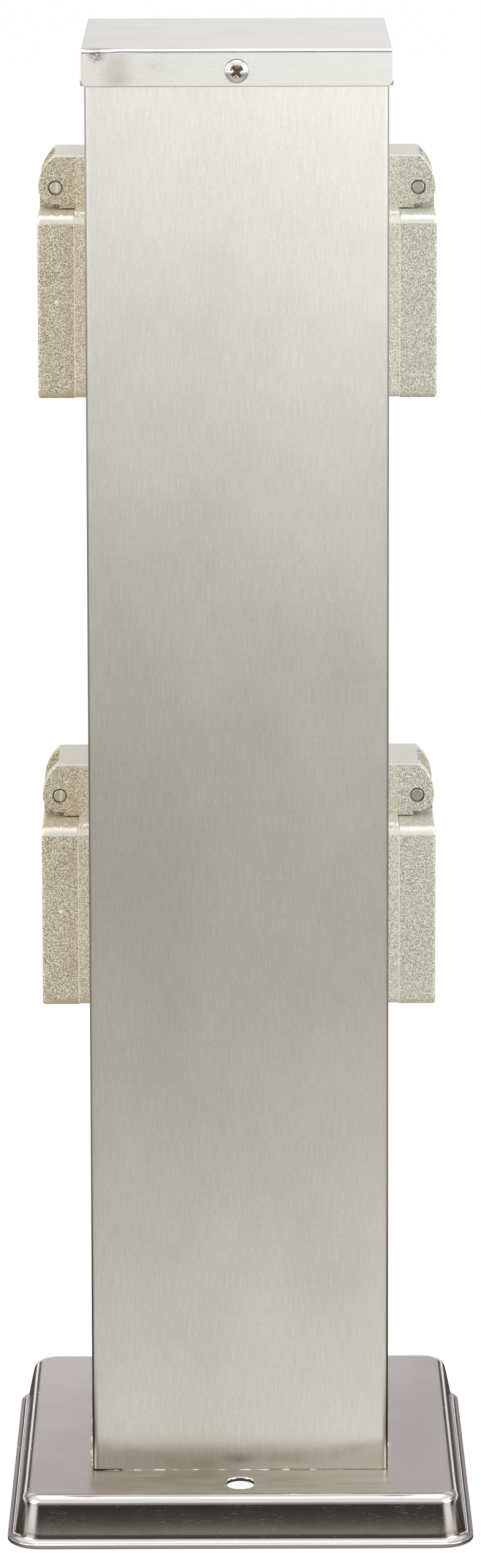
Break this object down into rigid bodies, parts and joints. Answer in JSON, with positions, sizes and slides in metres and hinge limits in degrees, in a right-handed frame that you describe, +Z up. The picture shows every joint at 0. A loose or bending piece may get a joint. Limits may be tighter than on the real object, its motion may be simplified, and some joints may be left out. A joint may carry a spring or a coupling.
{
  "type": "garden socket post",
  "caption": "Square stainless post on a pressed base plate with a folded cap and panel sockets under sprung lids on its side faces.",
  "frame": {"origin": "centre of the base plate's underside", "axes": "+Z up along the post, +X to the right sockets, -Y to the front face with the visible cap screw"},
  "size_m": [0.125, 0.125, 0.4],
  "materials": {
    "brushed_stainless": "vertical brushed grain",
    "pressed_stainless": "half-bright pressed sheet",
    "cap_stainless": "bright satin",
    "screw_steel": "bright plated",
    "zinc_steel": "zinc plated",
    "weld": "as welded",
    "silver_plastic": "silver lacquer with fine metal flake",
    "carrier_plastic": "fine satin",
    "block_plastic": "satin",
    "seal_rubber": "matte",
    "brass": "bright",
    "spring_steel": "oiled",
    "brown_insulation": "smooth",
    "blue_insulation": "smooth",
    "green_yellow_insulation": "smooth"
  },
  "bodies": {
    "post": {"lower_left_frame": "silver_plastic", "lower_left_gasket": "seal_rubber", "lower_left_insert": "carrier_plastic", "lower_left_contacts": "brass", "lower_left_earth_clip": "spring_steel", "lower_left_hinge_pin": "screw_steel", "lower_left_hinge_spring": "spring_steel", "lower_left_flange_screws": "screw_steel", "lower_right_frame": "silver_plastic", "lower_right_gasket": "seal_rubber", "lower_right_insert": "carrier_plastic", "lower_right_contacts": "brass", "lower_right_earth_clip": "spring_steel", "lower_right_hinge_pin": "screw_steel", "lower_right_hinge_spring": "spring_steel", "lower_right_flange_screws": "screw_steel", "upper_left_frame": "silver_plastic", "upper_left_gasket": "seal_rubber", "upper_left_insert": "carrier_plastic", "upper_left_contacts": "brass", "upper_left_earth_clip": "spring_steel", "upper_left_hinge_pin": "screw_steel", "upper_left_hinge_spring": "spring_steel", "upper_left_flange_screws": "screw_steel", "upper_right_frame": "silver_plastic", "upper_right_gasket": "seal_rubber", "upper_right_insert": "carrier_plastic", "upper_right_contacts": "brass", "upper_right_earth_clip": "spring_steel", "upper_right_hinge_pin": "screw_steel", "upper_right_hinge_spring": "spring_steel", "upper_right_flange_screws": "screw_steel", "base_plate": "pressed_stainless", "column": "brushed_stainless", "foot_welds": "weld", "cap": "cap_stainless", "cap_screws": "screw_steel", "cap_nuts": "zinc_steel", "cable_grommet": "seal_rubber", "terminal_bracket": "zinc_steel", "bracket_rivets": "zinc_steel", "terminal_block": "block_plastic", "terminal_clamps": "brass", "terminal_screws": "zinc_steel", "block_screws": "zinc_steel", "earth_stud": "zinc_steel", "earth_nuts": "zinc_steel", "earth_lug": "brass", "live_wires": "brown_insulation", "neutral_wires": "blue_insulation", "earth_wires": "green_yellow_insulation"},
    "lower_left_cover": {"lower_left_lid": "silver_plastic", "lower_left_lid_seal": "seal_rubber"},
    "lower_right_cover": {"lower_right_lid": "silver_plastic", "lower_right_lid_seal": "seal_rubber"},
    "upper_left_cover": {"upper_left_lid": "silver_plastic", "upper_left_lid_seal": "seal_rubber"},
    "upper_right_cover": {"upper_right_lid": "silver_plastic", "upper_right_lid_seal": "seal_rubber"}
  },
  "joints": [
    {"name": "lower_left_hinge", "type": "hinge", "parent": "post", "child": "lower_left_cover", "pos_m": [-0.0485, 0.0025, 0.1935], "axis": [0, 1, 0], "range_deg": [0, 105], "stiffness_Nm_per_rad": 0.012, "springref_deg": -34.38, "deforming": ["lower_left_hinge_spring"]},
    {"name": "lower_right_hinge", "type": "hinge", "parent": "post", "child": "lower_right_cover", "pos_m": [0.0485, 0.0025, 0.1935], "axis": [0, -1, 0], "range_deg": [0, 105], "stiffness_Nm_per_rad": 0.012, "springref_deg": -34.38, "deforming": ["lower_right_hinge_spring"]},
    {"name": "upper_left_hinge", "type": "hinge", "parent": "post", "child": "upper_left_cover", "pos_m": [-0.0485, 0.0025, 0.3598], "axis": [0, 1, 0], "range_deg": [0, 105], "stiffness_Nm_per_rad": 0.012, "springref_deg": -34.38, "deforming": ["upper_left_hinge_spring"]},
    {"name": "upper_right_hinge", "type": "hinge", "parent": "post", "child": "upper_right_cover", "pos_m": [0.0485, 0.0025, 0.3598], "axis": [0, -1, 0], "range_deg": [0, 105], "stiffness_Nm_per_rad": 0.012, "springref_deg": -34.38, "deforming": ["upper_right_hinge_spring"]}
  ]
}
